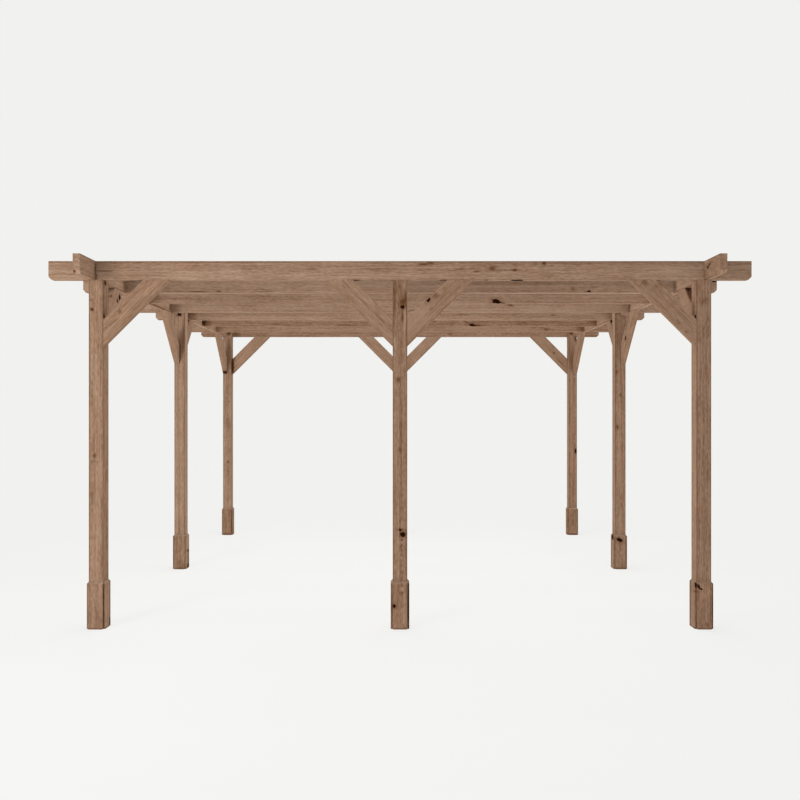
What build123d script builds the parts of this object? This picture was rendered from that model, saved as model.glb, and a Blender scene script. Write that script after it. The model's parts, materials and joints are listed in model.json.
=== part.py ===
from build123d import *
import os

# Wooden pergola: a free-standing open frame of planed softwood, square in plan.
# Eight posts stand round the edge, three along each side and no post in the middle.
# Two side beams run front to back over the side posts, and eight rafters run across
# them, halved into the side beams so that all the tops are level. Every post is braced
# to the beams it carries, and four boards clad the foot of each post.
# Millimetres. The origin is on the floor at the centre of the plan. +Z is up, +X runs
# along the rafters to the right, and -Y is the front.

# Posts
POST = 93.0  # side of the square section
ROW_PITCH = 1945.0  # between neighbouring post centres, both ways
TOP = 2354.0  # floor to the level top of posts, beams and rafters

# Rafters and side beams, from one stock section
BEAM_DEPTH = 120.0
BEAM_THICKNESS = 44.0
RAFTER_LENGTH = 4500.0
RAFTER_COUNT = 8
SIDE_BEAM_LENGTH = 4490.0
END_CHAMFER = 20.0  # cut off the lower corner of each end
HALVING = BEAM_DEPTH / 2  # depth of each half of the crossing joints

# Knee braces, 45 degrees, mitred against the post and the beam
BRACE_WIDTH = 120.0  # across the grain, in the plane of the brace
BRACE_LEG = 424.0  # from the corner of post and beam to the lower arris

# Boards round the foot of each post
FOOT_HEIGHT = 303.0
FOOT_THICKNESS = 13.0
FOOT_SETBACK = 1.0  # from the arris of the post to each long edge of a board

# Places that follow from these
OUTER = ROW_PITCH + POST / 2  # from the centre to the outer faces of the frame
SHOULDER = TOP - BEAM_DEPTH  # underside of the beams, and the seats on the posts
RAFTER_PITCH = (2 * OUTER - BEAM_THICKNESS) / (RAFTER_COUNT - 1)
BRACE_CUT = BRACE_WIDTH * 2**0.5  # length of a mitred end
LEFT, CENTRE, RIGHT = -1, 0, 1
FRONT, MIDDLE, REAR = -1, 0, 1
COLUMNS = {"left": LEFT, "centre": CENTRE, "right": RIGHT}
ROWS = {"front": FRONT, "middle": MIDDLE, "rear": REAR}


def outer_timber(side):
    """Centre line of a timber whose outer face is flush with the posts on that side."""
    return side * (OUTER - BEAM_THICKNESS / 2)


def rafter_place(index):
    """Centre line of a rafter, counted from the front, in Y."""
    return outer_timber(FRONT) + index * RAFTER_PITCH


def post(column, row):
    """Square post with its top notched on the outer faces, which leaves a tongue
    inside the beams that rest on the shoulder."""
    body = Pos(column * ROW_PITCH, row * ROW_PITCH, TOP / 2) * Box(POST, POST, TOP)
    seat_height = SHOULDER + BEAM_DEPTH / 2
    if column != CENTRE:
        body -= Pos(outer_timber(column), row * ROW_PITCH, seat_height) * Box(
            BEAM_THICKNESS, POST, BEAM_DEPTH
        )
    if row != MIDDLE:
        body -= Pos(column * ROW_PITCH, outer_timber(row), seat_height) * Box(
            POST, BEAM_THICKNESS, BEAM_DEPTH
        )
    return body


def beam_profile(length):
    """Long side of a beam, from the middle of its length: a rectangle with the lower
    corner of each end cut off at 45 degrees."""
    outline = Rectangle(length, BEAM_DEPTH)
    lower_corners = outline.vertices().group_by(Axis.Y)[0]
    return chamfer(lower_corners, END_CHAMFER)


def rafter(index):
    """Rafter lying along X, notched from below where it crosses the side beams."""
    profile = beam_profile(RAFTER_LENGTH)
    notch = Rectangle(BEAM_THICKNESS, HALVING)
    for side in (LEFT, RIGHT):
        profile -= Pos(outer_timber(side), -(BEAM_DEPTH - HALVING) / 2) * notch
    upright = Plane.XZ * profile
    solid = extrude(upright, BEAM_THICKNESS / 2, both=True)
    return Pos(0, rafter_place(index), TOP - BEAM_DEPTH / 2) * solid


def side_beam(side):
    """Side beam lying along Y, notched from above for every rafter."""
    profile = beam_profile(SIDE_BEAM_LENGTH)
    notch = Rectangle(BEAM_THICKNESS, HALVING)
    for index in range(RAFTER_COUNT):
        profile -= Pos(rafter_place(index), (BEAM_DEPTH - HALVING) / 2) * notch
    upright = Plane.YZ * profile
    solid = extrude(upright, BEAM_THICKNESS / 2, both=True)
    return Pos(outer_timber(side), 0, TOP - BEAM_DEPTH / 2) * solid


def brace(direction):
    """Knee brace in the XZ plane, with the corner of post and beam at the origin. It
    reaches down the post and along the beam towards direction, +1 or -1 in X."""
    outline = Polyline(
        (0, -BRACE_LEG),
        (0, BRACE_CUT - BRACE_LEG),
        (direction * (BRACE_LEG - BRACE_CUT), 0),
        (direction * BRACE_LEG, 0),
        close=True,
    )
    upright = Plane.XZ * make_face(outline)
    return extrude(upright, BEAM_THICKNESS / 2, both=True)


def cross_brace(column, row, direction):
    """Brace from a front or rear post to its rafter."""
    corner = column * ROW_PITCH + direction * POST / 2
    return Pos(corner, outer_timber(row), SHOULDER) * brace(direction)


def side_brace(column, row, direction):
    """Brace from a side post to its side beam."""
    corner = row * ROW_PITCH + direction * POST / 2
    return Pos(outer_timber(column), corner, SHOULDER) * Rot(0, 0, 90) * brace(direction)


def foot_boards(column, row):
    """Four boards round the foot of a post, one on each face, with a sloping top."""
    outline = Polyline(
        (0, 0),
        (FOOT_THICKNESS, 0),
        (FOOT_THICKNESS, FOOT_HEIGHT - FOOT_THICKNESS),
        (0, FOOT_HEIGHT),
        close=True,
    )
    upright = Plane.XZ * make_face(outline)
    board = extrude(upright, POST / 2 - FOOT_SETBACK, both=True)
    place = Pos(column * ROW_PITCH, row * ROW_PITCH, 0)
    turns = [Rot(0, 0, 90 * quarter) for quarter in range(4)]
    boards = [place * turn * Pos(POST / 2, 0, 0) * board for turn in turns]
    return Compound(children=boards)


def pergola():
    """Every piece of the frame, under the name of its node."""
    pieces = {}
    for row_name, row in ROWS.items():
        for column_name, column in COLUMNS.items():
            if row == MIDDLE and column == CENTRE:
                continue
            place = f"{row_name}_{column_name}"
            pieces[f"{place}_post"] = post(column, row)
            pieces[f"{place}_foot_boards"] = foot_boards(column, row)

    pieces["left_side_beam"] = side_beam(LEFT)
    pieces["right_side_beam"] = side_beam(RIGHT)
    for index in range(RAFTER_COUNT):
        pieces[f"rafter_{index + 1}"] = rafter(index)

    for row_name in ("front", "rear"):
        row = ROWS[row_name]
        pieces[f"{row_name}_left_brace"] = cross_brace(LEFT, row, RIGHT)
        pieces[f"{row_name}_centre_left_brace"] = cross_brace(CENTRE, row, LEFT)
        pieces[f"{row_name}_centre_right_brace"] = cross_brace(CENTRE, row, RIGHT)
        pieces[f"{row_name}_right_brace"] = cross_brace(RIGHT, row, LEFT)

    for side_name in ("left", "right"):
        side = COLUMNS[side_name]
        pieces[f"{side_name}_side_front_brace"] = side_brace(side, FRONT, REAR)
        pieces[f"{side_name}_side_middle_front_brace"] = side_brace(side, MIDDLE, FRONT)
        pieces[f"{side_name}_side_middle_rear_brace"] = side_brace(side, MIDDLE, REAR)
        pieces[f"{side_name}_side_rear_brace"] = side_brace(side, REAR, FRONT)
    return pieces


os.makedirs("parts", exist_ok=True)
for node, shape in pergola().items():
    export_step(shape, f"parts/{node}.step")
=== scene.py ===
import json
import math
import random
from dataclasses import dataclass

import bpy
from mathutils import Matrix, Vector

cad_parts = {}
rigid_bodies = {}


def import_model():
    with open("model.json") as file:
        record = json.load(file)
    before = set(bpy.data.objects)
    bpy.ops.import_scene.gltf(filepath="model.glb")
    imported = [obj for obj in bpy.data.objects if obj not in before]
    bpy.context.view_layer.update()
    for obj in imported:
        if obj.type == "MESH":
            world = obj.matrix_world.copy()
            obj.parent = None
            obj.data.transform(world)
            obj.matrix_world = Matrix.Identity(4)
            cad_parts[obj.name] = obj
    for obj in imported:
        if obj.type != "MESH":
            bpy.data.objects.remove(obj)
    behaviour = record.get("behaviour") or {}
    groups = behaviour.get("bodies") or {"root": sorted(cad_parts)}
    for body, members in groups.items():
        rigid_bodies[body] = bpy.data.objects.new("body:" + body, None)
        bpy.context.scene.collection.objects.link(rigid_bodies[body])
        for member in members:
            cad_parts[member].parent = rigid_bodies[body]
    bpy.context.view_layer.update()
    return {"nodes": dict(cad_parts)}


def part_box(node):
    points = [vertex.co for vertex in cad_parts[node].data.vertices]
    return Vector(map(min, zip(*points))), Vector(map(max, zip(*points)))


# A wooden pergola: brown-stained softwood timbers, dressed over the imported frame.
# Metres throughout. +Z is up, +X runs along the rafters and -Y is the front.

# Camera
SENSOR = 36.0  # mm
LENS = 36.03  # mm
SHIFT_Y = 0.0137  # the picture is framed a little above the level line of sight
EYE_HEIGHT = 1.395
EYE_DISTANCE = 5.1226  # from the front faces of the front posts
SIGHT_END = 200.0

# Light: the world's strength, and each lamp's place, aim, side and watts
WORLD_LIGHT = 0.27
LAMPS = {
    "overhead": ((0.0, 0.0, 7.0), (0.0, 0.0, 0.0), 6.0, 366.0),
    "key": ((-4.2, -6.4, 2.2), (0.0, -1.0, 1.3), 1.5, 131.0),
}

# Stage
BACKGROUND = (0.880, 0.880, 0.863)
FLOOR_NEAR = (0.974, 0.974, 0.956)
FLOOR_BOUNCE = (0.80, 0.80, 0.785)
FLOOR_RADIUS, FLOOR_SIDES = 60.0, 96
FLOOR_FADE = (3.4, 6.2)  # the floor takes the background's colour between these radii
FLOOR_SHADOW = 0.22  # share of the real light and shade that shows on the floor
FLOOR_GLOW = 0.82  # soft light thrown up under the timbers

# Stain colours, from the darkest latewood to the palest earlywood, at these tones
STAIN_DARK, DARK_TONE = (0.150, 0.073, 0.037), 0.05
STAIN_MID, MID_TONE = (0.283, 0.172, 0.110), 0.50
PALE_STAIN_AND_LIGHT, PALE_TONE = (0.405, 0.275, 0.193), 0.95
MEAN_TONE = 0.54
STAIN_RED = (1.06, 0.98, 0.97)  # times the colour, in patches
STAIN_OLIVE = (0.95, 1.01, 1.00)
HUE_SIZE, FULL_HUE = (0.16, 0.06), 0.8  # of the patches, and where their tint is full
# Knot and stain colours. The brown and the black also paint shade and shadow, the crevice brown
# paints shade into corners, and the palest stain also paints light
KNOT_AND_SHADE_BROWN = (0.088, 0.034, 0.010)
KNOT_AND_SHADOW_BLACK = (0.016, 0.0035, 0.0008)
CREVICE_SHADE_BROWN = (0.045, 0.013, 0.002)
MARK_COLOURS = (PALE_STAIN_AND_LIGHT, KNOT_AND_SHADE_BROWN, KNOT_AND_SHADOW_BLACK)

# Grain, each with its length along the timber and width across it, strength and detail
GRAIN = [
    ((3.0, 0.022), 0.30, 2.0),  # bands that run the length of a timber
    ((0.30, 0.010), 0.38, 3.0),  # streaks
    ((0.034, 0.008), 0.45, 2.0),  # flecks
    ((0.13, 0.07), 0.20, 3.0),  # blotches
]
FIBRE_SIZE, FIBRE_STRENGTH, FIBRE_ROUGHNESS = (0.016, 0.0008), 0.18, 0.6
BRACE_GRAIN = 0.75  # how strong the grain of the braces is, to that of the rest

# Growth rings
RING_WIDTH, RING_DARKER = 0.0042, 0.16
PITH_AWAY = 0.085  # from the middle of the section
PITH_SIZE, PITH_WANDER = (1.6, 0.6), 0.05  # the pith strays in waves of this size
UNEVEN_SIZE, UNEVEN = (0.25, 0.02), 0.0030  # and so does every ring, in smaller ones
LATEWOOD_POWER = 2.5  # how late in a ring the wood darkens
LATEWOOD_END = 0.90  # share of a ring after which the dark fades again

# Drying checks: thin lines, in patches
CHECK_SIZE, CHECK_LINE, CHECK_DARKER = (0.55, 0.020), 0.030, 0.75
PATCH_SIZE, PATCH_EDGE = (0.28, 0.05), (0.62, 0.72)

# Marks. Distances are in half sizes of the mark, from its middle.
RIM_WAVES, RIM_STRAY = 1.2, 0.6  # the ragged rim
SWIRL_REACH, SWIRL_DARKER = (0.8, 3.0), 0.16  # darker grain round a knot
BEND_FALLOFF = 0.55  # of the rings' bend round a knot
BLACK_POWER, HALO_POWER = 2.0, 0.7  # a black mark is brown where it is weak

# Darker and paler places, with painted shade and painted light among them
ARRIS_BAND = (0.003, 0.008)  # from an arris, where its darker band fades
ARRIS_DARKER, BRACE_ARRIS, BOARD_RIM = 0.42, 0.12, 0.04
BRACE_EDGE, BRACE_EDGE_DARKER = (0.002, 0.001), 0.24  # along the lower edge of a brace
CONTACT_SHADE_BAND, CONTACT_SHADE_DARKER = (0.005, 0.013), 0.52  # painted shade: the foot boards are darker at the floor
BOARD_TOP, TOP_BLUR, TOP_LIT_PALER = 0.290, 0.002, 0.35  # painted light: the boards' sloping tops are paler, as if lit from above
# Painted shade in the corners, found by ambient occlusion
CREVICE_REACH, CREVICE_SAMPLES = 0.03, 6
CREVICE_OPEN, CREVICE_DARKER = (0.05, 0.70), 0.38  # from closed in to open
CREVICE_ABOVE = (0.5, 1.0)  # over the floor, where the crevices begin to be darker

# Surface: relief in metres, and the roughness, which falls as the tone gets paler
RING_RELIEF, FIBRE_RELIEF = 0.00012, 0.00006
CHECK_SUNK, KNOT_SUNK, BUMP_STRENGTH = 0.0010, 0.0015, 0.8
ROUGHNESS, PALE_SMOOTHER, KNOT_ROUGHER = 0.86, 0.16, 0.2
SPECULAR = 0.04

# What tells one timber's wood from the next one's
SEED_STEP, BOARD_STEPS = 7.31, (1.7, 3.1)
PITH_TURN = 2.4  # radians round the section

# Knots scattered over the unseen faces
SEED = 5
KNOTS_PER_METRE = 1.3
LENGTH_USED, WIDTH_USED = 0.9, 0.7  # shares of a face that have knots
KNOT_HALF_WIDTH, KNOT_STRETCH = (0.005, 0.011), (1.0, 1.8)
BLACK_KNOTS, BROWN_STRENGTH = 0.4, (0.3, 0.6)  # share that is black, and the others' strength

# Timbers that are paler (+) or darker (-) than the rest
SHADES = {
    "rafter_1": 0.09,
    "rafter_2": 0.23,
    "rafter_3": 0.14,
    "rafter_4": 0.20,
    "rafter_5": 0.15,
    "rafter_6": -0.10,
    "rafter_8": -0.08,
    "left_side_beam": 0.05,
    "right_side_beam": 0.02,
    "middle_left_post": 0.10,
    "front_left_post": -0.05,
    "front_centre_post": -0.09,
    "front_right_post": -0.08,
    "rear_left_post": 0.05,
    "rear_right_post": -0.10,
    "front_centre_right_brace": -0.03,
    "front_left_brace": -0.06,
    "left_side_front_brace": 0.06,
    "left_side_middle_front_brace": 0.06,
    "right_side_middle_front_brace": 0.06,
    "front_left_foot_boards": -0.05,
    "front_centre_foot_boards": -0.07,
    "front_right_foot_boards": -0.10,
    "middle_left_foot_boards": -0.12,
    "middle_right_foot_boards": -0.03,
    "rear_left_foot_boards": -0.15,
    "rear_right_foot_boards": -0.15,
}
# A rafter with paler sapwood below a line on its face and darker wood above it: the
# height of the line over the middle of the rafter, and the change to either side
SAPWOOD = {"rafter_1": (0.000, 0.045)}
SAPWOOD_BLUR = 0.004

BRACE_WIDTH = 0.120  # in the plane of the brace, across the grain
BOARD_HALF_WIDTH = 0.0455  # of a foot board
ARRIS, BOARD_ARRIS = 0.0015, 0.0012  # how much the arrises are eased
ARRIS_SEGMENTS, ARRIS_ANGLE = 2, 30  # where the faces turn by more than these degrees
WELD_DISTANCE = 0.0001
KINDS = ("rafter", "side_beam", "brace", "post", "foot_boards")


# ---------------------------------------------------------------- node building


class Graph:
    """A short way to write a shader or group node tree."""

    def __init__(self, tree):
        self.tree = tree

    def node(self, kind, **settings):
        made = self.tree.nodes.new(kind)
        for name, value in settings.items():
            setattr(made, name, value)
        return made

    def put(self, socket, value):
        """Links an output to a socket, or sets the socket's own value."""
        if isinstance(value, bpy.types.NodeSocket):
            self.tree.links.new(value, socket)
        else:
            socket.default_value = value

    def put_all(self, sockets, values):
        for socket, value in zip(sockets, values):
            self.put(socket, value)

    def math(self, operation, *values):
        made = self.node("ShaderNodeMath", operation=operation)
        self.put_all(made.inputs, values)
        return made.outputs[0]

    def vector(self, operation, *values, output="Vector"):
        made = self.node("ShaderNodeVectorMath", operation=operation)
        self.put_all(made.inputs, values)
        return made.outputs[output]

    def dot(self, a, b):
        return self.vector("DOT_PRODUCT", a, b, output="Value")

    def length(self, vector):
        return self.vector("LENGTH", vector, output="Value")

    def scale(self, vector, factor):
        made = self.node("ShaderNodeVectorMath", operation="SCALE")
        self.put(made.inputs[0], vector)
        self.put(made.inputs["Scale"], factor)
        return made.outputs["Vector"]

    def join(self, x, y, z):
        made = self.node("ShaderNodeCombineXYZ")
        self.put_all(made.inputs, (x, y, z))
        return made.outputs[0]

    def split(self, vector):
        made = self.node("ShaderNodeSeparateXYZ")
        self.put(made.inputs[0], vector)
        return made.outputs

    def noise(self, vector, detail=2.0, roughness=0.5, colour=False):
        made = self.node("ShaderNodeTexNoise", noise_dimensions="3D")
        self.put(made.inputs["Vector"], vector)
        self.put(made.inputs["Scale"], 1.0)
        self.put(made.inputs["Detail"], detail)
        self.put(made.inputs["Roughness"], roughness)
        return made.outputs["Color" if colour else "Fac"]

    def centred(self, noise, amount=1.0):
        """Noise that runs from 0 to 1, moved and scaled to run from -amount to amount."""
        return self.math("MULTIPLY_ADD", noise, 2 * amount, -amount)

    def smooth(self, value, start, end, low=0.0, high=1.0):
        """Smooth step from low to high as value goes from start to end."""
        made = self.node("ShaderNodeMapRange", interpolation_type="SMOOTHSTEP")
        names = ("Value", "From Min", "From Max", "To Min", "To Max")
        self.put_all([made.inputs[name] for name in names], (value, start, end, low, high))
        return made.outputs["Result"]

    def mix(self, share, a, b):
        made = self.node("ShaderNodeMix", data_type="RGBA")
        self.put(made.inputs["Factor"], share)
        for name, value in (("A", a), ("B", b)):
            socket = next(s for s in made.inputs if s.name == name and s.type == "RGBA")
            if isinstance(value, tuple):
                value = (*value, 1.0)
            self.put(socket, value)
        return next(s for s in made.outputs if s.type == "RGBA")

    def ramp(self, value, stops):
        """The colour at a value, between stops that are pairs of a position and a colour."""
        made = self.node("ShaderNodeValToRGB")
        elements = made.color_ramp.elements
        while len(elements) < len(stops):
            elements.new(0.5)
        for element, (position, colour) in zip(elements, stops):
            element.position, element.color = position, (*colour, 1)
        self.put(made.inputs["Fac"], value)
        return made.outputs["Color"]

    def group(self, tree, **inputs):
        made = self.node("ShaderNodeGroup", node_tree=tree)
        for name, value in inputs.items():
            self.put(made.inputs[name], value)
        return made.outputs

    def surface(self, shader, kind="ShaderNodeOutputMaterial"):
        """Links a shader to a new output node."""
        output = self.node(kind)
        self.put(output.inputs["Surface"], shader)


FLOAT, VECTOR = "NodeSocketFloat", "NodeSocketVector"


def new_group(name, inputs, outputs):
    """An empty shader group with sockets, its graph, and its input's outputs."""
    tree = bpy.data.node_groups.new(name, "ShaderNodeTree")
    for socket_name, kind in inputs:
        tree.interface.new_socket(socket_name, in_out="INPUT", socket_type=kind)
    for socket_name, kind in outputs:
        tree.interface.new_socket(socket_name, in_out="OUTPUT", socket_type=kind)
    graph = Graph(tree)
    given = graph.node("NodeGroupInput").outputs
    result = graph.node("NodeGroupOutput").inputs
    return graph, given, result


def new_material(name):
    """A material without nodes, and its graph."""
    material = bpy.data.materials.new(name)
    material.use_nodes = True
    material.node_tree.nodes.clear()
    return material, Graph(material.node_tree)


# ---------------------------------------------------------------- the timbers' shapes


@dataclass
class Timber:
    """One node of the frame: its box, and how it lies. Its middle line passes through
    centre along grain. Height is across the wide face, and depth is the third direction."""

    name: str
    kind: str
    low: Vector
    high: Vector
    centre: Vector
    grain: Vector
    height: Vector
    depth: Vector
    half_height: float
    half_depth: float


def brace_lean(name):
    """+1 where a brace rises towards +X or +Y, and -1 where it falls."""
    if "side" in name:
        return 1 if name.endswith(("side_front_brace", "middle_rear_brace")) else -1
    return 1 if name.endswith(("centre_right_brace", "front_left_brace", "rear_left_brace")) else -1


def read_timber(name):
    """How a timber lies, by its name and its box."""
    kind = next(word for word in KINDS if word in name)
    low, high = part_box(name)
    centre, size = (low + high) / 2, high - low
    along_x, along_y, upright = Vector((1, 0, 0)), Vector((0, 1, 0)), Vector((0, 0, 1))
    if kind == "rafter":
        grain, height, depth = along_x, upright, along_y
    elif kind == "side_beam":
        grain, height, depth = along_y, upright, along_x
    elif kind == "brace":
        level, depth = (along_y, along_x) if "side" in name else (along_x, along_y)
        lean = brace_lean(name)
        grain = (upright + lean * level).normalized()
        height = (upright - lean * level).normalized()
        # the box's middle lies on the lower edge of the brace
        centre += height * BRACE_WIDTH / 2
    else:
        grain, height, depth = upright, along_x, along_y
    half_height = (BRACE_WIDTH if kind == "brace" else size.dot(height)) / 2
    half_depth = size.dot(depth) / 2
    return Timber(name, kind, low, high, centre, grain, height, depth, half_height, half_depth)


# ---------------------------------------------------------------- marks


@dataclass
class Mark:
    """A knot, crack, stain, painted shade or painted light in one face of a timber: an ellipse,
    given by the place of its middle on the face and half its length and width. Its length
    follows the grain, or turns from it by so many degrees, anticlockwise as seen."""

    place: tuple
    length: float
    width: float
    strength: float = 1.0
    turn: float = 0.0
    face: str = "front"
    colour: tuple = KNOT_AND_SHADOW_BLACK
    softness: float = 0.25
    swirl: float = 0.0  # how much it darkens and bends the grain around it
    depth: float = 0.020  # in from the face


def knot(place, length, width, strength=1.0, swirl=1.0, **more):
    return Mark(place, length, width, strength, swirl=swirl, **more)


def brown_knot(place, length, width, strength, **more):
    return knot(place, length, width, strength, colour=KNOT_AND_SHADE_BROWN, **more)


def blot(place, length, width, strength=1.0, **more):
    """Black like a knot, but the grain runs straight through it. Some are painted shadow in gaps,
    pockets and crevices.
    """
    return Mark(place, length, width, strength, **more)


# A soft brown mark, for stains in the wood and also for painted shade
def stain_and_shade(place, length, width, strength, softness=0.8, **more):
    return Mark(place, length, width, strength, softness=softness, colour=KNOT_AND_SHADE_BROWN, **more)


# A soft pale mark, for paler wood and also for painted light
def pale(place, length, width, strength, softness=0.8, **more):
    return Mark(place, length, width, strength, softness=softness, colour=PALE_STAIN_AND_LIGHT, **more)


# outward direction of each face, and the two directions that give a place on it
FACES = {
    "front": ((0, -1, 0), "xz"),
    "right": ((1, 0, 0), "yz"),
    "left": ((-1, 0, 0), "yz"),
    "back": ((0, 1, 0), "xz"),
    "below": ((0, 0, -1), "xy"),
    "above": ((0, 0, 1), "xy"),
}


def alike(a, b):
    """Whether two unit directions lie along the same line, either way round."""
    return math.isclose(abs(a.dot(b)), 1.0, abs_tol=0.01)


def mark_centre(mark, timber):
    """The middle of a mark, on that face of the timber's box."""
    outward, across = FACES[mark.face]
    centre = Vector([timber.high[i] if outward[i] > 0 else timber.low[i] for i in range(3)])
    for name, value in zip(across, mark.place):
        centre["xyz".index(name)] = value
    return centre


def mark_group():
    """The share of a mark at a point, and how much the grain around it darkens and bends.
    Along, Across and Inward are the mark's directions, each divided by its half size."""
    graph, given, result = new_group(
        "Mark",
        [(name, VECTOR) for name in ("Point", "Centre", "Along", "Across", "Inward")]
        + [(name, FLOAT) for name in ("Width", "Softness")],
        [(name, FLOAT) for name in ("Core", "Swirl", "Bend")],
    )
    offset = graph.vector("SUBTRACT", given["Point"], given["Centre"])
    own = graph.join(*(graph.dot(offset, given[name]) for name in ("Along", "Across", "Inward")))
    waves = graph.scale(offset, graph.math("DIVIDE", RIM_WAVES, given["Width"]))
    stray = graph.centred(graph.noise(waves), RIM_STRAY)
    distance = graph.math("ADD", graph.length(own), stray)
    inner = graph.math("SUBTRACT", 1.0, given["Softness"])
    outer = graph.math("ADD", 1.0, given["Softness"])
    graph.put(result["Core"], graph.smooth(distance, inner, outer, 1.0, 0.0))
    graph.put(result["Swirl"], graph.smooth(distance, *SWIRL_REACH, 1.0, 0.0))
    falloff = graph.math("EXPONENT", graph.math("MULTIPLY", distance, -BEND_FALLOFF))
    graph.put(result["Bend"], graph.math("MULTIPLY", falloff, given["Width"]))
    return graph.tree


# ---------------------------------------------------------------- wood


def softwood_group():
    """Softwood sawn from a log: growth rings about a wandering pith, streaks and fibres
    along the grain, blotches of stain and fine drying checks."""
    graph, given, result = new_group(
        "Softwood",
        [(name, VECTOR) for name in ("Point", "Pith")]
        + [(name, FLOAT) for name in ("Seed", "Bend", "Contrast")],
        [(name, FLOAT) for name in ("Tone", "Hue", "Check", "Relief")],
    )
    point = given["Point"]
    seed = graph.join(given["Seed"], given["Seed"], given["Seed"])

    def drawn_noise(size, detail=2.0, **more):
        """Noise in features of that length along the grain and width across it."""
        along, across = size
        stretched = graph.vector("MULTIPLY", point, (1 / along, 1 / across, 1 / across))
        placed = graph.vector("ADD", stretched, seed)
        return graph.noise(placed, detail=detail, **more)

    # Growth rings
    wander = graph.vector("SUBTRACT", drawn_noise(PITH_SIZE, 1.0, colour=True), (0.5, 0.5, 0.5))
    wander = graph.vector("MULTIPLY", wander, (0.0, PITH_WANDER, PITH_WANDER))
    from_pith = graph.vector("SUBTRACT", graph.vector("ADD", point, wander), given["Pith"])
    radius = graph.length(graph.vector("MULTIPLY", from_pith, (0.0, 1.0, 1.0)))
    radius = graph.math("ADD", radius, given["Bend"])
    radius = graph.math("ADD", radius, graph.centred(drawn_noise(UNEVEN_SIZE), UNEVEN))
    ring = graph.math("FRACT", graph.math("DIVIDE", radius, RING_WIDTH))
    late = graph.math("POWER", ring, LATEWOOD_POWER)
    late = graph.math("MULTIPLY", late, graph.smooth(ring, LATEWOOD_END, 1.0, 1.0, 0.0))

    # Bands, streaks, flecks, blotches and fibres
    tone = graph.math("MULTIPLY", late, -RING_DARKER)
    for size, amount, detail in GRAIN:
        tone = graph.math("MULTIPLY_ADD", graph.centred(drawn_noise(size, detail)), amount, tone)
    fibre = graph.centred(drawn_noise(FIBRE_SIZE, roughness=FIBRE_ROUGHNESS))
    tone = graph.math("MULTIPLY_ADD", fibre, FIBRE_STRENGTH, tone)
    graph.put(result["Tone"], graph.math("MULTIPLY_ADD", tone, given["Contrast"], MEAN_TONE))
    graph.put(result["Hue"], graph.centred(drawn_noise(HUE_SIZE)))

    # Drying checks: thin lines where a long drawn-out noise crosses its middle
    line = graph.math("ABSOLUTE", graph.centred(drawn_noise(CHECK_SIZE, 1.0)))
    line = graph.smooth(line, 0.0, CHECK_LINE, 1.0, 0.0)
    patch = graph.smooth(drawn_noise(PATCH_SIZE, 1.0), *PATCH_EDGE)
    check = graph.math("MULTIPLY", line, patch)
    graph.put(result["Check"], check)

    relief = graph.math("MULTIPLY", late, RING_RELIEF)
    relief = graph.math("MULTIPLY_ADD", fibre, FIBRE_RELIEF, relief)
    relief = graph.math("MULTIPLY_ADD", check, -CHECK_SUNK, relief)
    graph.put(result["Relief"], relief)
    return graph.tree


class Spot:
    """The point of a timber that is shaded: its place in the frame, how far it is above the
    floor and off the timber's centre, and the same offset along the timber's own axes."""

    def __init__(self, graph, timber):
        self.place = graph.node("ShaderNodeTexCoord").outputs["Object"]
        self.above_floor = graph.split(self.place)[2]
        self.offset = graph.vector("SUBTRACT", self.place, timber.centre)
        axes = (timber.grain, timber.height, timber.depth)
        self.own = graph.join(*(graph.dot(self.offset, axis) for axis in axes))
        _, self.height, self.depth = graph.split(self.own)


def laid_marks(graph, timber, spot, marks, group):
    """The share of each colour of mark, and how much the grain bends and darkens."""
    shares = {colour: 0.0 for colour in MARK_COLOURS}
    bend, swirl = 0.0, 0.0
    for mark in marks:
        outward = Vector(FACES[mark.face][0])
        lie = timber.height if alike(timber.grain, outward) else timber.grain
        along = Matrix.Rotation(math.radians(mark.turn), 3, outward) @ lie
        found = graph.group(
            group,
            Point=spot.place,
            Centre=mark_centre(mark, timber),
            Along=along / mark.length,
            Across=outward.cross(along) / mark.width,
            Inward=outward / mark.depth,
            Width=mark.width,
            Softness=mark.softness,
        )
        share = graph.math("MULTIPLY", found["Core"], mark.strength)
        shares[mark.colour] = graph.math("MAXIMUM", share, shares[mark.colour])
        if mark.swirl:
            bend = graph.math("ADD", found["Bend"], bend)
            swirl = graph.math("MULTIPLY_ADD", found["Swirl"], mark.swirl, swirl)
    return shares, bend, swirl


def board_seed(graph, spot, seed):
    """A seed for each of the four boards of a foot, told apart by the signs of the sum
    and the difference of their offsets."""
    x, y, _ = graph.split(spot.offset)
    for operation, step in zip(("ADD", "SUBTRACT"), BOARD_STEPS):
        side = graph.math("SIGN", graph.math(operation, x, y))
        seed = graph.math("MULTIPLY_ADD", side, step, seed)
    return seed


def sawn_wood(graph, timber, spot, bend, group, number):
    """The bare wood of a timber, with the pith outside the section, each on another side."""
    seed, turn = SEED_STEP * number, PITH_TURN * number
    if timber.kind == "foot_boards":
        seed = board_seed(graph, spot, seed)
    pith = (0.0, PITH_AWAY * math.cos(turn), PITH_AWAY * math.sin(turn))
    contrast = BRACE_GRAIN if timber.kind == "brace" else 1.0
    return graph.group(group, Point=spot.own, Pith=pith, Seed=seed, Bend=bend, Contrast=contrast)


def timber_tone(graph, timber, spot, tone, swirl):
    """How pale the wood is, with what is special about this timber."""
    tone = graph.math("MULTIPLY_ADD", swirl, -SWIRL_DARKER, tone)
    tone = graph.math("ADD", tone, SHADES.get(timber.name, 0.0))
    # Painted light: the sloping tops of the foot boards are paler
    if timber.kind == "foot_boards":
        start, end = BOARD_TOP - TOP_BLUR, BOARD_TOP + TOP_BLUR
        tone = graph.math("ADD", tone, graph.smooth(spot.above_floor, start, end, 0.0, TOP_LIT_PALER))
    if timber.name in SAPWOOD:
        line, change = SAPWOOD[timber.name]
        sapwood = graph.smooth(spot.height, line, line - SAPWOOD_BLUR, -change, change)
        tone = graph.math("ADD", tone, sapwood)
    return tone


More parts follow.
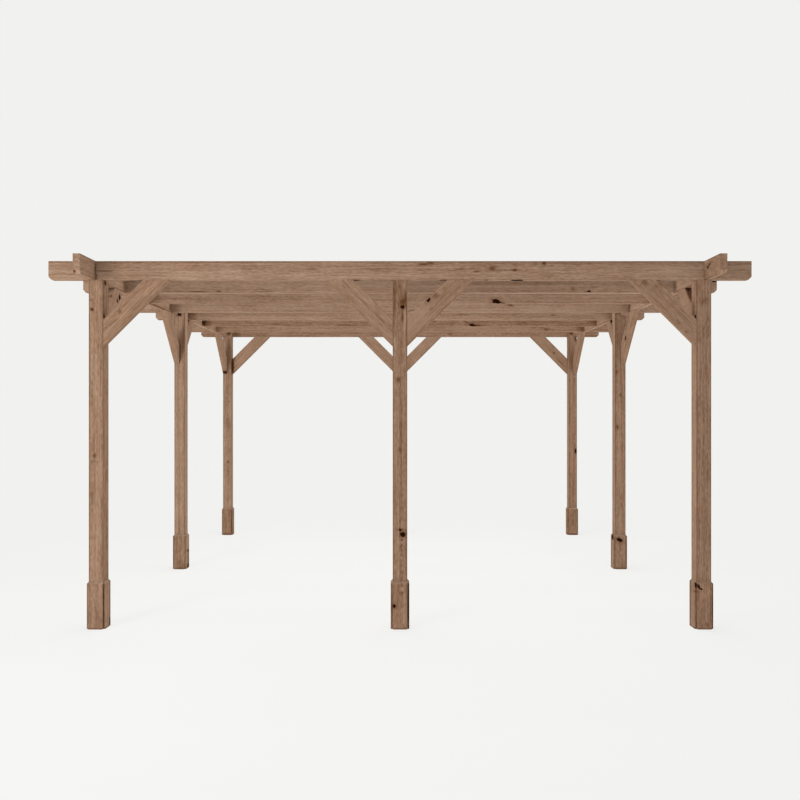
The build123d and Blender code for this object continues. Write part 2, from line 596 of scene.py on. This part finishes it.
def stained_colour(graph, tone, wood):
    """The colour of the stained wood by its tone, tinted in patches, and dark in the drying checks.
    """
    stops = ((DARK_TONE, STAIN_DARK), (MID_TONE, STAIN_MID), (PALE_TONE, PALE_STAIN_AND_LIGHT))
    colour = graph.ramp(tone, stops)
    for tint, full in ((STAIN_RED, FULL_HUE), (STAIN_OLIVE, -FULL_HUE)):
        tinted = graph.vector("MULTIPLY", colour, tint)
        colour = graph.mix(graph.smooth(wood["Hue"], 0.0, full), colour, tinted)
    return graph.mix(graph.math("MULTIPLY", wood["Check"], CHECK_DARKER), colour, KNOT_AND_SHADE_BROWN)


def marked_colour(graph, colour, shares, black):
    """The marks over the wood: pale, brown, then black, with a brown halo round black."""
    halo = graph.math("POWER", shares[KNOT_AND_SHADOW_BLACK], HALO_POWER)
    brown = graph.math("MAXIMUM", shares[KNOT_AND_SHADE_BROWN], halo)
    for mark_colour, share in zip(MARK_COLOURS, (shares[PALE_STAIN_AND_LIGHT], brown, black)):
        colour = graph.mix(share, colour, mark_colour)
    return colour


def arris_share(graph, timber, spot):
    """Darker colour along the arrises. Only the upper ones of a rafter are darker."""
    height = spot.height
    if timber.kind != "rafter":
        height = graph.math("ABSOLUTE", height)
    depth = graph.math("ABSOLUTE", spot.depth)
    if timber.kind == "foot_boards":
        inset = graph.math("SUBTRACT", BOARD_HALF_WIDTH, graph.math("MINIMUM", height, depth))
    else:
        inset = graph.math(
            "MAXIMUM",
            graph.math("SUBTRACT", timber.half_height, height),
            graph.math("SUBTRACT", timber.half_depth, depth),
        )
    darker = {"brace": BRACE_ARRIS, "foot_boards": BOARD_RIM}.get(timber.kind, ARRIS_DARKER)
    return graph.math("MULTIPLY", graph.smooth(inset, *ARRIS_BAND, 1.0, 0.0), darker)


def brace_edge_share(graph, timber, spot):
    """Darker colour along the lower edge of a brace."""
    start, end = (inset - timber.half_height for inset in BRACE_EDGE)
    return graph.smooth(spot.height, start, end, 0.0, BRACE_EDGE_DARKER)


def crevice_shade_share(graph, spot):
    """Painted shade: darker where another timber stands close."""
    crevice = graph.node("ShaderNodeAmbientOcclusion", samples=CREVICE_SAMPLES)
    graph.put(crevice.inputs["Distance"], CREVICE_REACH)
    closed = graph.smooth(crevice.outputs["AO"], *CREVICE_OPEN, CREVICE_DARKER, 0.0)
    return graph.math("MULTIPLY", closed, graph.smooth(spot.above_floor, *CREVICE_ABOVE))


def darker_places(graph, timber, spot, colour):
    """Darker along the arrises and the lower edge of a brace, and painted shade at the floor and in
    the corners.
    """
    colour = graph.mix(arris_share(graph, timber, spot), colour, KNOT_AND_SHADE_BROWN)
    if timber.kind == "brace":
        colour = graph.mix(brace_edge_share(graph, timber, spot), colour, KNOT_AND_SHADE_BROWN)
    if timber.kind == "foot_boards":
        # painted shade where the boards stand on the floor
        contact_shade = graph.smooth(spot.above_floor, *CONTACT_SHADE_BAND, CONTACT_SHADE_DARKER, 0.0)
        return graph.mix(contact_shade, colour, KNOT_AND_SHADE_BROWN)
    # painted shade in the corners
    return graph.mix(crevice_shade_share(graph, spot), colour, CREVICE_SHADE_BROWN)


def wood_surface(graph, colour, tone, black, relief):
    """Dull wood, rougher where it is darker, with its knots a little sunk."""
    bump = graph.node("ShaderNodeBump")
    graph.put(bump.inputs["Height"], graph.math("MULTIPLY_ADD", black, -KNOT_SUNK, relief))
    graph.put(bump.inputs["Distance"], 1.0)
    graph.put(bump.inputs["Strength"], BUMP_STRENGTH)
    rough = graph.math("MULTIPLY_ADD", tone, -PALE_SMOOTHER, ROUGHNESS)
    rough = graph.math("MULTIPLY_ADD", black, KNOT_ROUGHER, rough)

    shader = graph.node("ShaderNodeBsdfPrincipled")
    graph.put(shader.inputs["Base Color"], colour)
    graph.put(shader.inputs["Roughness"], rough)
    graph.put(shader.inputs["Normal"], bump.outputs["Normal"])
    graph.put(shader.inputs["Specular IOR Level"], SPECULAR)
    return shader.outputs["BSDF"]


def timber_material(timber, marks, groups, number):
    """The stained wood of one timber, in its own place in the log."""
    material, graph = new_material(f"stained_wood_{timber.name}")
    spot = Spot(graph, timber)
    shares, bend, swirl = laid_marks(graph, timber, spot, marks, groups["mark"])
    wood = sawn_wood(graph, timber, spot, bend, groups["softwood"], number)
    tone = timber_tone(graph, timber, spot, wood["Tone"], swirl)
    black = graph.math("POWER", shares[KNOT_AND_SHADOW_BLACK], BLACK_POWER)
    colour = stained_colour(graph, tone, wood)
    colour = marked_colour(graph, colour, shares, black)
    colour = darker_places(graph, timber, spot, colour)
    graph.surface(wood_surface(graph, colour, tone, black, wood["Relief"]))
    return material


# ---------------------------------------------------------------- marks listed one by one


def dots_below(x, top, pitch, count):
    """A row of small dots that run down from a knot, each fainter than the last."""
    first, fainter = 0.6, 0.08
    return [
        blot((x, top - pitch * step), 0.007, 0.004, first - fainter * step)
        for step in range(count)
    ]


def beam_end_shade(left, right):
    """Painted shade where a rafter meets the two side beams."""
    return [
        stain_and_shade((-1.930, 2.290), 0.050, 0.090, left),
        stain_and_shade((1.930, 2.290), 0.050, 0.090, right),
    ]


def underside(place, length, strength):
    """Painted shade: a stretch of a rafter's underside that is darker across its whole thickness.
    """
    return stain_and_shade(place, length, 0.040, strength, face="below", depth=0.003)


def pale_side(y, strength, face):
    """Painted light: one side of a post, paler all the way up."""
    return pale((y, 1.150), 1.200, 0.070, strength, face=face, depth=0.004)


def pale_foot(y, width, strength, face):
    """Painted light: the same on the board at the foot of that side."""
    return pale((y, 0.145), 0.200, width, strength, face=face, depth=0.004)


def notch_shadow(x, width, strength, z=0.145, length=0.165):
    """Painted shadow: a dark line down the corner of a foot, in the notch where two of its boards
    meet.
    """
    return blot((x, z), length, width, strength, softness=0.3, depth=0.040)


# What shows from the front, timber by timber: the place of each mark on its face, half
# its length and width, and its strength. Besides knots and stains, some marks are painted
# shade, painted shadow and painted light.
MARKS = {
    "front_centre_post": [
        knot((0.017, 2.060), 0.012, 0.014),
        brown_knot((0.018, 2.092), 0.022, 0.014, 0.9, turn=-12, softness=0.6),
        stain_and_shade((0.028, 2.104), 0.026, 0.009, 0.8, turn=-20),
        stain_and_shade((0.034, 2.116), 0.050, 0.008, 0.85),
        stain_and_shade((-0.034, 2.110), 0.150, 0.008, 0.72),
        stain_and_shade((0.000, 2.140), 0.110, 0.035, 0.18),
        stain_and_shade((0.016, 2.000), 0.052, 0.004, 0.9),
        stain_and_shade((0.010, 1.990), 0.020, 0.006, 0.35),
        stain_and_shade((0.043, 1.980), 0.150, 0.004, 0.4),
        stain_and_shade((0.043, 1.780), 0.140, 0.002, 0.3),
        pale((0.034, 2.005), 0.050, 0.004, 0.6),
        brown_knot((-0.010, 1.596), 0.012, 0.010, 0.55),
        brown_knot((-0.002, 1.148), 0.011, 0.009, 0.3),
        knot((0.018, 0.604), 0.017, 0.018),
        stain_and_shade((0.013, 0.630), 0.014, 0.018, 0.5),
        blot((0.002, 0.633), 0.010, 0.010, 0.85),
        stain_and_shade((0.004, 0.635), 0.010, 0.036, 0.45),
        stain_and_shade((0.025, 0.695), 0.006, 0.005, 0.4),
        *dots_below(0.011, 0.570, 0.033, 6),
    ],
    "front_centre_foot_boards": [
        knot((-0.038, 0.149), 0.012, 0.012),
        # painted shadow in the right notch, and weaker painted shade in the left notch
        notch_shadow(0.0545, 0.0058, 0.88, z=0.160, length=0.180),
        stain_and_shade((-0.0530, 0.145), 0.160, 0.0058, 0.35, softness=0.3, depth=0.040),
        pale((0.012, 0.257), 0.015, 0.015, 0.5, swirl=1.4),
        stain_and_shade((0.014, 0.236), 0.005, 0.012, 0.35),
    ],
    "front_left_foot_boards": [
        # painted shadow in the right notch
        notch_shadow(-1.8958, 0.0024, 0.95),
        blot((-1.9090, 0.024), 0.034, 0.012, face="right"),
        stain_and_shade((-1.9040, 0.145), 0.300, 0.013, 0.6, face="right"),
        # painted light on the right side
        pale_foot(-1.9600, 0.050, 0.25, "right"),
    ],
    "front_left_post": [
        knot((-1.970, 2.045), 0.010, 0.010, 0.65),
        brown_knot((-1.976, 2.105), 0.008, 0.008, 0.3),
        blot((-1.956, 2.220), 0.020, 0.015, 0.85, face="right"),
        # painted shade in the crevice above the brace
        blot((-1.978, 2.005), 0.016, 0.012, 0.8, face="right"),
        stain_and_shade((-1.984, 2.075), 0.070, 0.008, 0.45, face="right"),
        brown_knot((-1.954, 1.109), 0.010, 0.009, 0.7),
        stain_and_shade((-1.957, 1.072), 0.005, 0.022, 0.35),
        stain_and_shade((-1.958, 1.145), 0.045, 0.003, 0.3),
        stain_and_shade((-1.988, 0.588), 0.007, 0.003, 0.5),
        stain_and_shade((-1.988, 0.524), 0.007, 0.003, 0.4),
        stain_and_shade((-1.988, 0.467), 0.006, 0.003, 0.3),
        stain_and_shade((-1.902, 0.490), 0.140, 0.003, 0.3),
        # painted light on the inner side
        pale((-1.945, 1.730), 0.120, 0.050, 0.28, face="right", depth=0.004),
    ],
    "front_right_post": [
        # painted light on the inner side
        pale_side(-1.945, 0.20, "left"),
        # painted shadow of the brace on the inner side, and painted shade in the crevice above the
        # brace
        stain_and_shade((-1.935, 2.045), 0.065, 0.024, 0.6, face="left"),
        blot((-1.968, 2.000), 0.013, 0.014, 0.9, face="left"),
        brown_knot((1.950, 2.100), 0.014, 0.016, 0.22),
        stain_and_shade((1.917, 0.620), 0.050, 0.003, 0.4),
        stain_and_shade((1.960, 1.105), 0.020, 0.010, 0.2),
    ],
    "front_right_foot_boards": [
        # painted shadow in the right notch
        notch_shadow(2.0000, 0.0026, 0.90),
        stain_and_shade((-1.9040, 0.145), 0.300, 0.014, 0.85, face="left"),
        # painted light on the left side
        pale_foot(-1.9600, 0.050, 0.20, "left"),
        blot((1.8935, 0.281), 0.018, 0.0075, turn=5, depth=0.04),
        blot((1.9080, 0.273), 0.015, 0.0065, turn=8),
        blot((1.9220, 0.258), 0.0055, 0.011, turn=-20),
        stain_and_shade((1.891, 0.241), 0.006, 0.016, 0.7, depth=0.04),
        stain_and_shade((1.959, 0.033), 0.012, 0.012, 0.4),
    ],
    "middle_left_post": [
        # painted light on the inner side
        pale_side(0.000, 0.22, "right"),
        # painted shadow of the brace on the post's front
        stain_and_shade((-1.922, 2.000), 0.125, 0.025, 0.55, softness=0.6, turn=-5),
        blot((-1.943, 1.930), 0.100, 0.008, 0.6, softness=0.6),
        blot((-1.940, 2.244), 0.015, 0.012, 0.8),
    ],
    "middle_right_post": [
        stain_and_shade((1.920, 2.264), 0.014, 0.035, 0.6),
        # painted shade beside the brace, then painted light on the inner side
        stain_and_shade((1.925, 2.050), 0.160, 0.028, 0.15),
        pale_side(0.000, 0.16, "left"),
        brown_knot((1.911, 1.739), 0.010, 0.008, 0.6),
        brown_knot((1.946, 1.536), 0.010, 0.008, 0.6),
        brown_knot((1.919, 1.253), 0.018, 0.010, 0.75),
        stain_and_shade((1.915, 1.200), 0.040, 0.003, 0.4),
        stain_and_shade((1.960, 1.610), 0.040, 0.003, 0.4),
    ],
    "middle_right_foot_boards": [
        knot((1.936, 0.258), 0.016, 0.028, turn=-18),
        blot((-0.010, 0.278), 0.027, 0.027, face="left"),
        stain_and_shade((0.036, 0.130), 0.150, 0.012, 0.8, face="left"),
        # painted shade in the right notch and at the floor
        stain_and_shade((1.998, 0.145), 0.170, 0.008, 0.6, depth=0.040),
        stain_and_shade((1.945, 0.010), 0.009, 0.060, 0.4),
        # painted light on the left side
        pale_foot(0.000, 0.080, 0.41, "left"),
    ],
    "middle_left_foot_boards": [
        stain_and_shade((-1.945, 0.060), 0.025, 0.020, 0.35),
        # painted shade at the floor, then painted light on the end of the right board
        stain_and_shade((-1.945, 0.010), 0.009, 0.060, 0.4),
        pale((-1.8925, 0.145), 0.165, 0.005, 0.4),
        blot((0.010, 0.155), 0.014, 0.030, 0.8, face="right"),
        stain_and_shade((0.020, 0.075), 0.080, 0.030, 0.65, face="right"),
        blot((0.010, 0.022), 0.024, 0.030, 0.8, face="right"),
        # painted shade in the left notch, then painted light on the right side
        stain_and_shade((-1.9960, 0.145), 0.170, 0.006, 0.6),
        pale_foot(0.000, 0.080, 0.47, "right"),
    ],
    "rear_left_foot_boards": [
        # painted shadow in the right notch, and painted shade at the floor
        notch_shadow(-1.8960, 0.0040, 0.5),
        stain_and_shade((-1.945, 0.012), 0.010, 0.060, 0.6),
    ],
    "rear_left_post": [
        knot((-1.938, 0.820), 0.012, 0.009, 0.55),
        stain_and_shade((-1.938, 0.700), 0.055, 0.012, 0.35),
        stain_and_shade((-1.945, 1.250), 0.050, 0.040, 0.26),
        stain_and_shade((-1.968, 1.510), 0.180, 0.006, 0.35),
        # painted light on the inner side, the brace's painted shadow on the front, painted shade at
        # the top beside the last rafter, and painted shadow on the inner side by the brace
        pale_side(1.945, 0.31, "right"),
        stain_and_shade((-1.930, 2.020), 0.190, 0.028, 0.6, softness=0.6),
        stain_and_shade((-1.925, 2.267), 0.022, 0.024, 0.85, softness=0.4),
        blot((1.930, 1.895), 0.085, 0.035, 0.9, face="right", depth=0.001),
    ],
    # painted shade at the floor
    "rear_right_foot_boards": [stain_and_shade((1.945, 0.012), 0.010, 0.060, 0.6)],
    "rear_right_post": [
        knot((1.979, 0.944), 0.028, 0.013),
        # painted light on the inner side, painted shade beside the brace, and painted shade at the
        # top beside the last rafter
        pale_side(1.945, 0.52, "left"),
        stain_and_shade((1.930, 1.950), 0.100, 0.020, 0.5, softness=0.6),
        stain_and_shade((1.928, 2.267), 0.020, 0.022, 0.85, softness=0.4),
        blot((1.974, 2.208), 0.036, 0.009, 0.5),
    ],
    "rear_left_brace": [
        blot((-1.890, 1.905), 0.090, 0.012, 0.75, turn=45, softness=0.6),
        stain_and_shade((-1.880, 1.985), 0.020, 0.020, 0.7),
    ],
    "rafter_1": [
        stain_and_shade((-1.951, 2.251), 0.014, 0.014, 0.9),
        # painted light beside the horn of the side beam
        pale((-1.905, 2.300), 0.050, 0.060, 0.30),
        stain_and_shade((-1.690, 2.290), 0.190, 0.070, 0.17),
        pale((1.720, 2.290), 0.250, 0.060, 0.14),
        pale((2.160, 2.290), 0.090, 0.060, 0.16),
        # painted shadow line of the horn
        stain_and_shade((-1.950, 2.300), 0.006, 0.050, 0.6),
        stain_and_shade((-1.890, 2.2905), 0.060, 0.0035, 0.9, softness=0.4),
        stain_and_shade((-0.560, 2.303), 0.040, 0.004, 0.5),
        brown_knot((0.150, 2.334), 0.028, 0.006, 0.8),
        brown_knot((0.196, 2.343), 0.022, 0.006, 0.75),
        stain_and_shade((-1.300, 2.3455), 0.750, 0.0040, 0.45),
        stain_and_shade((-1.673, 2.3445), 0.030, 0.0050, 0.75),
        stain_and_shade((-0.250, 2.3455), 0.500, 0.0040, 0.22),
        stain_and_shade((0.332, 2.2935), 0.030, 0.004, 0.4),
        stain_and_shade((0.384, 2.300), 0.030, 0.005, 0.45),
        stain_and_shade((0.464, 2.306), 0.020, 0.005, 0.4),
        stain_and_shade((0.490, 2.287), 0.022, 0.005, 0.8),
        brown_knot((0.590, 2.3065), 0.020, 0.012, 0.72, softness=0.5),
        stain_and_shade((0.710, 2.296), 0.080, 0.003, 0.6),
        brown_knot((0.734, 2.297), 0.016, 0.007, 0.95),
        stain_and_shade((0.922, 2.341), 0.014, 0.014, 0.95),
        stain_and_shade((1.200, 2.352), 1.000, 0.014, 0.35),
        stain_and_shade((0.866, 2.341), 0.016, 0.010, 0.5),
        brown_knot((0.940, 2.257), 0.022, 0.009, 0.25),
        stain_and_shade((-0.286, -1.970), 0.032, 0.060, 0.95, softness=0.4, face="below", depth=0.002),
        stain_and_shade((0.278, -1.970), 0.026, 0.060, 0.8, softness=0.4, face="below", depth=0.002),
        blot((0.553, -1.966), 0.012, 0.040, 0.5, face="below", depth=0.002),
        blot((0.752, -1.970), 0.038, 0.060, face="below", depth=0.0015),
        # painted shade on the underside
        underside((0.000, -1.970), 2.400, 0.30),
        underside((1.250, -1.970), 0.500, 0.38),
    ],
    "rafter_2": [
        knot((1.342, 2.2455), 0.015, 0.007),
        stain_and_shade((1.315, 2.242), 0.020, 0.002, 0.5),
        brown_knot((1.228, 2.261), 0.014, 0.012, 0.5),
        stain_and_shade((1.370, 2.277), 0.030, 0.012, 0.35),
        # painted shade at the left end by the side beam, a painted shadow spot under the front
        # rafter, and painted light at the right end
        *beam_end_shade(0.15, 0.0),
        blot((2.232, 2.3165), 0.018, 0.0075),
        pale((1.915, 2.290), 0.060, 0.060, 0.25),
        pale((0.100, 2.252), 0.100, 0.012, 0.45),
        stain_and_shade((-1.650, 2.241), 0.060, 0.003, 0.5),
        stain_and_shade((-1.560, 2.241), 0.040, 0.003, 0.8),
        stain_and_shade((-1.440, 2.242), 0.070, 0.004, 0.9),
        stain_and_shade((-1.285, 2.243), 0.018, 0.005, 0.8),
        stain_and_shade((-0.975, 2.243), 0.070, 0.004, 0.5),
        # painted shade on the underside, and the front rafter's painted shadow along the upper part
        underside((0.100, -1.413), 0.700, 0.36),
        stain_and_shade((0.850, 2.305), 0.550, 0.022, 0.42),
        stain_and_shade((0.860, 2.260), 0.600, 0.030, 0.22),
        # painted shade on the underside
        underside((0.000, -1.413), 2.400, 0.21),
    ],
    "rafter_3": [
        # painted shade at both ends by the side beams
        *beam_end_shade(0.40, 0.15),
        stain_and_shade((1.000, 2.300), 0.400, 0.050, 0.12),
        knot((0.753, 2.249), 0.035, 0.018, turn=-15),
        stain_and_shade((0.714, 2.266), 0.020, 0.003, 0.5),
        stain_and_shade((0.800, 2.238), 0.032, 0.005, 0.95, softness=0.5, turn=-15),
        # painted shade on the underside
        underside((-1.000, -0.843), 1.800, 0.42),
        underside((1.000, -0.843), 1.400, 0.26),
    ],
    "rafter_4": [
        # painted shade at both ends by the side beams
        *beam_end_shade(0.45, 0.15),
        brown_knot((0.940, 2.2955), 0.022, 0.008, 0.75, turn=-10),
        # painted shade on the underside
        underside((0.000, -0.274), 2.400, 0.32),
        stain_and_shade((0.098, 2.251), 0.035, 0.009, 0.5, softness=0.5, turn=12),
    ],
    # painted shade at both ends by the side beams
    "rafter_5": [*beam_end_shade(0.50, 0.30), stain_and_shade((0.900, 2.300), 0.500, 0.050, 0.20)],
    "rafter_6": [
        # painted shade at both ends by the side beams, and in the crevice against the left side
        # beam
        *beam_end_shade(0.75, 0.50),
        blot((-1.938, 2.272), 0.012, 0.035, 0.78),
        knot((0.717, 2.246), 0.035, 0.013, turn=-10),
        stain_and_shade((0.662, 2.274), 0.030, 0.007, 0.8, turn=-25),
        stain_and_shade((0.768, 2.243), 0.036, 0.009, 0.9, softness=0.5),
    ],
    "rafter_7": [
        # painted shade at both ends by the side beams
        *beam_end_shade(0.50, 0.60),
        brown_knot((1.553, 2.264), 0.022, 0.011, 0.55),
        stain_and_shade((1.505, 2.277), 0.025, 0.007, 0.45),
        stain_and_shade((1.420, 2.281), 0.030, 0.012, 0.40),
    ],
    "rafter_8": [
        # painted shade at the left end by the side beam
        stain_and_shade((-1.860, 2.262), 0.045, 0.022, 0.7),
        brown_knot((1.650, 2.317), 0.020, 0.012, 0.5),
        brown_knot((0.570, 2.266), 0.020, 0.012, 0.25),
    ],
    "front_centre_right_brace": [
        knot((0.178, 2.109), 0.017, 0.017),
        pale((0.110, 2.005), 0.110, 0.070, 0.25),
        stain_and_shade((0.270, 2.125), 0.050, 0.003, 0.5),
        stain_and_shade((0.200, 2.050), 0.018, 0.012, 0.30),
        stain_and_shade((0.285, 2.180), 0.012, 0.010, 0.30),
        brown_knot((0.230, 2.129), 0.014, 0.012, 0.35, swirl=1.4),
    ],
    "front_left_brace": [
        brown_knot((-1.792, 2.029), 0.011, 0.009, 0.5),
        stain_and_shade((-1.764, 2.067), 0.020, 0.003, 0.4),
        stain_and_shade((-1.737, 2.118), 0.020, 0.003, 0.4),
    ],
    "front_right_brace": [
        brown_knot((1.566, 2.2155), 0.014, 0.008, 0.3, swirl=1.4),
        brown_knot((1.670, 2.210), 0.014, 0.010, 0.2, swirl=1.4),
        stain_and_shade((1.782, 1.960), 0.018, 0.010, 0.3),
        brown_knot((1.830, 1.902), 0.006, 0.006, 0.5),
        stain_and_shade((1.560, 2.222), 0.040, 0.003, 0.5, turn=90),
        stain_and_shade((1.640, 2.190), 0.014, 0.012, 0.35),
        stain_and_shade((1.665, 2.160), 0.030, 0.003, 0.5),
        stain_and_shade((1.815, 2.005), 0.040, 0.003, 0.5),
        stain_and_shade((1.475, 2.210), 0.090, 0.006, 0.4, softness=0.5, depth=0.060),
    ],
    "front_centre_left_brace": [
        stain_and_shade((-0.345, 2.206), 0.040, 0.0025, 0.7),
        stain_and_shade((-0.360, 2.190), 0.020, 0.0025, 0.6),
        stain_and_shade((-0.235, 2.093), 0.050, 0.0025, 0.6),
        stain_and_shade((-0.130, 1.990), 0.060, 0.0025, 0.7),
    ],
    "rear_right_brace": [
        knot((1.742, 2.051), 0.010, 0.008, 0.6),
        stain_and_shade((1.815, 1.945), 0.060, 0.010, 0.55),
    ],
    "right_side_middle_front_brace": [
        knot((-0.199, 2.022), 0.021, 0.017, face="left"),
        stain_and_shade((-0.232, 2.131), 0.090, 0.007, 0.9, softness=0.5, face="left"),
    ],
    "right_side_middle_rear_brace": [
        # painted shade in the crevice under the side beam
        blot((0.285, 2.234), 0.020, 0.020, face="left", depth=0.06),
    ],
    "left_side_rear_brace": [knot((1.878, 1.829), 0.022, 0.012, face="right", depth=0.05)],
    "left_side_front_brace": [
        knot((-1.551, 2.183), 0.018, 0.018, face="right"),
        knot((-1.596, 2.153), 0.012, 0.012, 0.9, face="right"),
        # painted shade on the upper edge, under the side beam
        stain_and_shade((-1.707, 2.171), 0.014, 0.012, 0.7, face="right", depth=0.03),
    ],
    "right_side_front_brace": [
        # painted shade on the upper edge and in the crevice under the side beam
        stain_and_shade((-1.706, 2.184), 0.110, 0.013, 0.8, softness=0.4, face="left", depth=0.06),
        blot((-1.666, 2.235), 0.018, 0.018, face="left", depth=0.06),
    ],
    "left_side_beam": [
        # painted shade in the corner before the front rafter
        stain_and_shade((-2.003, 2.300), 0.010, 0.056, 0.65, face="right"),
        knot((-1.985, 2.245), 0.008, 0.008, 0.7),
        blot((-0.078, 2.243), 0.032, 0.013, face="right"),
        stain_and_shade((-0.850, 2.236), 0.550, 0.006, 0.9, face="right"),
        # painted shade where the rafters cross
        stain_and_shade((-1.455, 2.290), 0.030, 0.060, 0.5, face="right"),
        stain_and_shade((-0.330, 2.285), 0.035, 0.055, 0.7, face="right"),
        stain_and_shade((0.230, 2.285), 0.040, 0.060, 0.6, face="right"),
        blot((0.795, 2.272), 0.032, 0.035, 0.9, face="right"),
        stain_and_shade((1.360, 2.285), 0.035, 0.060, 0.6, face="right"),
    ],
    "right_side_beam": [
        stain_and_shade((-2.120, 2.294), 0.140, 0.080, 0.25, face="left"),
        # painted shade where the rafters cross
        stain_and_shade((-1.450, 2.290), 0.030, 0.060, 0.5, face="left"),
        stain_and_shade((-0.320, 2.285), 0.020, 0.055, 0.8, face="left"),
        stain_and_shade((1.360, 2.285), 0.035, 0.060, 0.6, face="left"),
        knot((-2.049, 2.306), 0.012, 0.009, face="left"),
        knot((-2.080, 2.318), 0.016, 0.005, 0.8, face="left"),
    ],
}


# ---------------------------------------------------------------- scattered knots


def unseen_faces(timber):
    """The faces that the front view doesn't show, and that open to the air."""
    outer = "left" if timber.centre.x < 0 else "right"
    if timber.kind == "rafter":
        return ["back", "above"]
    if timber.kind == "side_beam":
        return [outer, "above"]
    if timber.kind == "brace":
        return [outer if "side" in timber.name else "back"]
    if timber.name.endswith("centre_post"):
        return ["left", "right", "back"]
    return [outer, "back"] if timber.kind == "post" else []


def scattered_knots(timber, draw):
    """A few knots on the faces that have none listed."""
    half_length = abs((timber.high - timber.low).dot(timber.grain)) / 2
    found = []
    for face in unseen_faces(timber):
        outward, axes = FACES[face]
        cross, half = timber.height, timber.half_height
        if alike(timber.height, Vector(outward)):
            cross, half = timber.depth, timber.half_depth
        for _ in range(round(half_length * 2 * KNOTS_PER_METRE)):
            along = draw.uniform(-LENGTH_USED, LENGTH_USED) * half_length
            across = draw.uniform(-WIDTH_USED, WIDTH_USED) * half
            spot = timber.centre + along * timber.grain + across * cross
            place = tuple(spot["xyz".index(axis)] for axis in axes)
            width = draw.uniform(*KNOT_HALF_WIDTH)
            length = width * draw.uniform(*KNOT_STRETCH)
            if draw.random() < BLACK_KNOTS:
                found.append(knot(place, length, width, face=face))
            else:
                strength = draw.uniform(*BROWN_STRENGTH)
                found.append(brown_knot(place, length, width, strength, face=face))
    return found


# ---------------------------------------------------------------- dressing


def ease_edges(piece, width):
    """Rounds the sharp arrises of a sawn timber."""
    weld = piece.modifiers.new("weld", "WELD")
    weld.merge_threshold = WELD_DISTANCE
    bevel = piece.modifiers.new("arris", "BEVEL")
    bevel.width = width
    bevel.segments = ARRIS_SEGMENTS
    bevel.limit_method = "ANGLE"
    bevel.angle_limit = math.radians(ARRIS_ANGLE)
    bevel.harden_normals = False


def dress_timbers(nodes):
    """Every node keeps its CAD shape and gets its own wood and eased arrises."""
    groups = {"softwood": softwood_group(), "mark": mark_group()}
    draw = random.Random(SEED)
    for number, name in enumerate(sorted(nodes)):
        piece, timber = nodes[name], read_timber(name)
        marks = MARKS.get(name, []) + scattered_knots(timber, draw)
        wood = timber_material(timber, marks, groups, number)
        for slot in piece.material_slots:
            slot.material = wood
        ease_edges(piece, BOARD_ARRIS if timber.kind == "foot_boards" else ARRIS)


# ---------------------------------------------------------------- stage, light, camera


def clear_scene():
    for item in list(bpy.data.objects):
        bpy.data.objects.remove(item)


def seen_directly(graph):
    """1 for rays that show a surface as itself or in a reflection, 0 for diffuse light."""
    path = graph.node("ShaderNodeLightPath").outputs
    seen = graph.math("MAXIMUM", path["Is Camera Ray"], path["Is Glossy Ray"])
    return graph.math("MAXIMUM", seen, path["Is Transmission Ray"])


def floor_material():
    """Shows a flat pale colour with a little of the object's shadow, and throws a soft
    light up under the timbers."""
    material, graph = new_material("studio_floor")
    away = graph.length(graph.node("ShaderNodeTexCoord").outputs["Object"])
    seen = seen_directly(graph)

    shown = graph.node("ShaderNodeEmission")
    colour = graph.mix(graph.smooth(away, *FLOOR_FADE), FLOOR_NEAR, BACKGROUND)
    graph.put(shown.inputs["Color"], colour)
    lit = graph.node("ShaderNodeBsdfDiffuse")
    graph.put(lit.inputs["Color"], (*FLOOR_BOUNCE, 1))
    flat = graph.smooth(away, *FLOOR_FADE, 1 - FLOOR_SHADOW, 1.0)
    blend = graph.node("ShaderNodeMixShader")
    share = graph.math("MULTIPLY", seen, flat)
    graph.put_all(blend.inputs, (share, lit.outputs[0], shown.outputs[0]))

    glow = graph.node("ShaderNodeEmission")
    unseen = graph.math("SUBTRACT", 1.0, seen)
    graph.put(glow.inputs["Strength"], graph.math("MULTIPLY", unseen, FLOOR_GLOW))
    both = graph.node("ShaderNodeAddShader")
    graph.put_all(both.inputs, (blend.outputs[0], glow.outputs[0]))
    graph.surface(both.outputs[0])
    return material


def make_floor():
    bpy.ops.mesh.primitive_circle_add(vertices=FLOOR_SIDES, radius=FLOOR_RADIUS, fill_type="NGON")
    floor = bpy.context.object
    floor.name = "studio_floor"
    floor.data.materials.append(floor_material())


def make_world():
    world = bpy.data.worlds.new("studio")
    bpy.context.scene.world = world
    world.use_nodes = True
    world.node_tree.nodes.clear()
    graph = Graph(world.node_tree)
    shown = graph.node("ShaderNodeBackground")
    colour = graph.mix(seen_directly(graph), (WORLD_LIGHT,) * 3, BACKGROUND)
    graph.put(shown.inputs["Color"], colour)
    graph.surface(shown.outputs[0], "ShaderNodeOutputWorld")


def make_lamp(name, place, target, size, watts):
    data = bpy.data.lights.new(name, "AREA")
    data.shape = "SQUARE"
    data.size = size
    data.energy = watts
    lamp = bpy.data.objects.new(name, data)
    bpy.context.scene.collection.objects.link(lamp)
    lamp.location = place
    aim = Vector(target) - Vector(place)
    lamp.rotation_euler = aim.to_track_quat("-Z", "Y").to_euler()


def make_camera(front):
    data = bpy.data.cameras.new("camera")
    data.lens = LENS
    data.sensor_width = SENSOR
    data.shift_y = SHIFT_Y
    data.clip_end = SIGHT_END
    camera = bpy.data.objects.new("camera", data)
    bpy.context.scene.collection.objects.link(camera)
    camera.location = (0.0, front - EYE_DISTANCE, EYE_HEIGHT)
    camera.rotation_euler = (math.radians(90), 0.0, 0.0)
    bpy.context.scene.camera = camera


clear_scene()
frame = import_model()

make_camera(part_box("front_centre_post")[0].y)
make_world()
make_floor()
for lamp_name, lamp_settings in LAMPS.items():
    make_lamp(lamp_name, *lamp_settings)
dress_timbers(frame["nodes"])

bpy.context.scene.view_settings.view_transform = "Standard"
